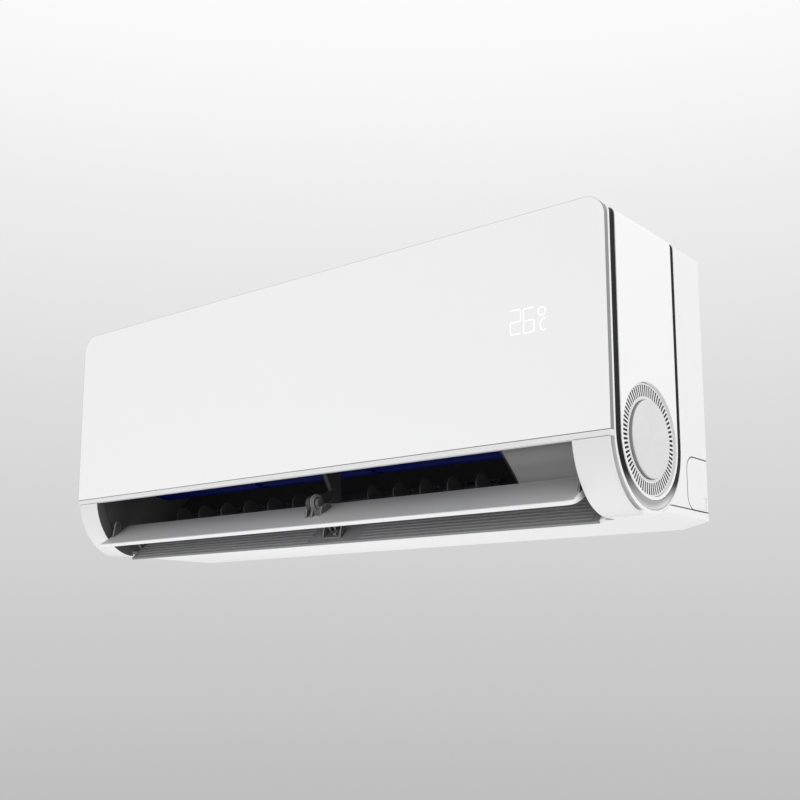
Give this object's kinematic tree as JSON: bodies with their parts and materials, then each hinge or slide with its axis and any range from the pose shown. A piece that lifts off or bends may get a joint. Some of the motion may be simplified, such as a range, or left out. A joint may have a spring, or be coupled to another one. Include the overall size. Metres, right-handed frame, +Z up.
{
  "type": "mini split indoor unit",
  "caption": "Wall-mounted mini split indoor unit with a hinged front panel, twin open louvres, swing vanes, a cross-flow fan, round side vents and a rear pipe channel",
  "frame": {"origin": "middle of the back face of the mounting plate, on the wall plane", "axes": "+X along the unit towards the motor end (the viewer's right from the front), +Y into the wall, +Z up"},
  "size_m": [0.9, 0.235, 0.3414],
  "materials": {
    "gloss_white": "gloss white",
    "white_moulding": "satin white",
    "white_chassis": "fine-grained white",
    "grey_edge": "satin grey",
    "bright_trim": "bright, brushed lengthwise",
    "dark_metal": "dark bright metal look",
    "silver_disc": "pale silver",
    "duct_dark": "matt near black",
    "bay_grey": "satin grey",
    "flap_grey": "satin grey, white outside",
    "rib_grey": "ribbed grey, white outside",
    "fan_blue": "dark blue",
    "steel": "ground",
    "zinc_plate": "galvanised",
    "fin_aluminium": "fine fins",
    "copper": "drawn tube",
    "rubber": "matt black",
    "motor_black": "black moulding",
    "board_green": "green board",
    "box_grey": "grey",
    "filter_dark": "dark frame and mesh"
  },
  "bodies": {
    "housing": {"mounting_plate": "zinc_plate", "rear_chassis": "white_chassis", "bottom_cover": "white_moulding", "front_casing": "white_moulding", "left_channel_trim": "dark_metal", "left_pill_cover": "gloss_white", "left_vent_ring": "white_moulding", "left_vent_disc": "silver_disc", "left_end_cap": "gloss_white", "right_channel_trim": "dark_metal", "right_pill_cover": "gloss_white", "right_vent_ring": "white_moulding", "right_vent_disc": "silver_disc", "right_end_cap": "gloss_white", "air_duct": "duct_dark", "motor_bay_panel": "bay_grey", "drain_pan": "duct_dark", "fan_bearing": "rubber", "fan_motor": "motor_black", "motor_clamp": "zinc_plate", "centre_bracket": "duct_dark", "upper_flap_motor": "box_grey", "lower_flap_motor": "box_grey", "vane_motor": "box_grey", "evaporator_front_low": "fin_aluminium", "evaporator_front_high": "fin_aluminium", "evaporator_rear": "fin_aluminium", "tube_sheet_left": "copper", "tube_sheet_right": "copper", "gas_pipe": "copper", "liquid_pipe": "copper", "control_box": "box_grey", "control_board": "board_green", "control_cover": "box_grey", "terminal_block": "motor_black"},
    "panel": {"front_panel": "gloss_white", "panel_frame": "grey_edge", "panel_trim": "bright_trim", "display_board": "board_green"},
    "upper_louvre": {"upper_flap": "flap_grey"},
    "lower_louvre": {"lower_flap": "rib_grey"},
    "fan": {"cross_flow_fan": "fan_blue", "fan_shaft": "steel"},
    "left_air_filter": {"left_filter": "filter_dark"},
    "right_air_filter": {"right_filter": "filter_dark"},
    "left_cover": {"left_pipe_cover": "white_chassis"},
    "right_cover": {"right_pipe_cover": "white_chassis"},
    "swing_link": {"vane_link": "duct_dark"},
    "swing_vane_1": {"vane_1": "duct_dark"},
    "swing_vane_2": {"vane_2": "duct_dark"},
    "swing_vane_3": {"vane_3": "duct_dark"},
    "swing_vane_4": {"vane_4": "duct_dark"},
    "swing_vane_5": {"vane_5": "duct_dark"},
    "swing_vane_6": {"vane_6": "duct_dark"},
    "swing_vane_7": {"vane_7": "duct_dark"},
    "swing_vane_8": {"vane_8": "duct_dark"},
    "swing_vane_9": {"vane_9": "duct_dark"},
    "swing_vane_10": {"vane_10": "duct_dark"},
    "swing_vane_11": {"vane_11": "duct_dark"},
    "swing_vane_12": {"vane_12": "duct_dark"}
  },
  "joints": [
    {"name": "panel_hinge", "type": "hinge", "parent": "housing", "child": "panel", "pos_m": [0, -0.2197, 0.1355], "axis": [-1, 0, 0], "range_deg": [0, 60]},
    {"name": "upper_louvre_tilt", "type": "hinge", "parent": "housing", "child": "upper_louvre", "pos_m": [0, -0.202, -0.152], "axis": [1, 0, 0], "range_deg": [-96, 0]},
    {"name": "lower_louvre_tilt", "type": "hinge", "parent": "housing", "child": "lower_louvre", "pos_m": [0, -0.1703, -0.1662], "axis": [1, 0, 0], "range_deg": [-60, 10]},
    {"name": "fan_spin", "type": "hinge", "parent": "housing", "child": "fan", "pos_m": [0, -0.105, -0.052], "axis": [1, 0, 0], "continuous": true},
    {"name": "vane_10_swing", "type": "hinge", "parent": "housing", "child": "swing_vane_10", "pos_m": [0.129, -0.10712, -0.15317], "axis": [0, -0.7445, 0.6676], "range_deg": [-30, 30]},
    {"name": "vane_1_swing", "type": "hinge", "parent": "housing", "child": "swing_vane_1", "pos_m": [-0.3354, -0.10712, -0.15317], "axis": [0, -0.7445, 0.6676], "range_deg": [-30, 30]},
    {"name": "vane_2_swing", "type": "hinge", "parent": "housing", "child": "swing_vane_2", "pos_m": [-0.2869, -0.10712, -0.15317], "axis": [0, -0.7445, 0.6676], "range_deg": [-30, 30]},
    {"name": "vane_3_swing", "type": "hinge", "parent": "housing", "child": "swing_vane_3", "pos_m": [-0.2384, -0.10712, -0.15317], "axis": [0, -0.7445, 0.6676], "range_deg": [-30, 30]},
    {"name": "vane_4_swing", "type": "hinge", "parent": "housing", "child": "swing_vane_4", "pos_m": [-0.1899, -0.10712, -0.15317], "axis": [0, -0.7445, 0.6676], "range_deg": [-30, 30]},
    {"name": "vane_5_swing", "type": "hinge", "parent": "housing", "child": "swing_vane_5", "pos_m": [-0.1414, -0.10712, -0.15317], "axis": [0, -0.7445, 0.6676], "range_deg": [-30, 30]},
    {"name": "vane_6_swing", "type": "hinge", "parent": "housing", "child": "swing_vane_6", "pos_m": [-0.0929, -0.10712, -0.15317], "axis": [0, -0.7445, 0.6676], "range_deg": [-30, 30]},
    {"name": "vane_7_swing", "type": "hinge", "parent": "housing", "child": "swing_vane_7", "pos_m": [-0.0444, -0.10712, -0.15317], "axis": [0, -0.7445, 0.6676], "range_deg": [-30, 30]},
    {"name": "vane_8_swing", "type": "hinge", "parent": "housing", "child": "swing_vane_8", "pos_m": [0.043, -0.10712, -0.15317], "axis": [0, -0.7445, 0.6676], "range_deg": [-30, 30]},
    {"name": "vane_9_swing", "type": "hinge", "parent": "housing", "child": "swing_vane_9", "pos_m": [0.086, -0.10712, -0.15317], "axis": [0, -0.7445, 0.6676], "range_deg": [-30, 30]},
    {"name": "vane_11_swing", "type": "hinge", "parent": "housing", "child": "swing_vane_11", "pos_m": [0.172, -0.10712, -0.15317], "axis": [0, -0.7445, 0.6676], "range_deg": [-30, 30]},
    {"name": "vane_12_swing", "type": "hinge", "parent": "housing", "child": "swing_vane_12", "pos_m": [0.215, -0.10712, -0.15317], "axis": [0, -0.7445, 0.6676], "range_deg": [-30, 30]},
    {"name": "link_slide", "type": "slide", "parent": "housing", "child": "swing_link", "axis": [1, 0, 0], "range_m": [-0.0116, 0.0116]},
    {"name": "left_filter_lift", "type": "slide", "parent": "housing", "child": "left_air_filter", "axis": [0, 0, 1], "range_m": [0, 0.1]},
    {"name": "right_filter_lift", "type": "slide", "parent": "housing", "child": "right_air_filter", "axis": [0, 0, 1], "range_m": [0, 0.1]},
    {"name": "left_cover_pull", "type": "slide", "parent": "housing", "child": "left_cover", "axis": [-1, 0, 0], "range_m": [0, 0.03]},
    {"name": "right_cover_pull", "type": "slide", "parent": "housing", "child": "right_cover", "axis": [1, 0, 0], "range_m": [0, 0.03]}
  ],
  "couplings": [
    {"joint": "vane_1_swing", "follows": "vane_10_swing", "ratio": 1},
    {"joint": "vane_2_swing", "follows": "vane_10_swing", "ratio": 1},
    {"joint": "vane_3_swing", "follows": "vane_10_swing", "ratio": 1},
    {"joint": "vane_4_swing", "follows": "vane_10_swing", "ratio": 1},
    {"joint": "vane_5_swing", "follows": "vane_10_swing", "ratio": 1},
    {"joint": "vane_6_swing", "follows": "vane_10_swing", "ratio": 1},
    {"joint": "vane_7_swing", "follows": "vane_10_swing", "ratio": 1},
    {"joint": "vane_8_swing", "follows": "vane_10_swing", "ratio": 1},
    {"joint": "vane_9_swing", "follows": "vane_10_swing", "ratio": 1},
    {"joint": "vane_11_swing", "follows": "vane_10_swing", "ratio": 1},
    {"joint": "vane_12_swing", "follows": "vane_10_swing", "ratio": 1},
    {"joint": "link_slide", "follows": "vane_10_swing", "m_per_rad": -0.022}
  ]
}
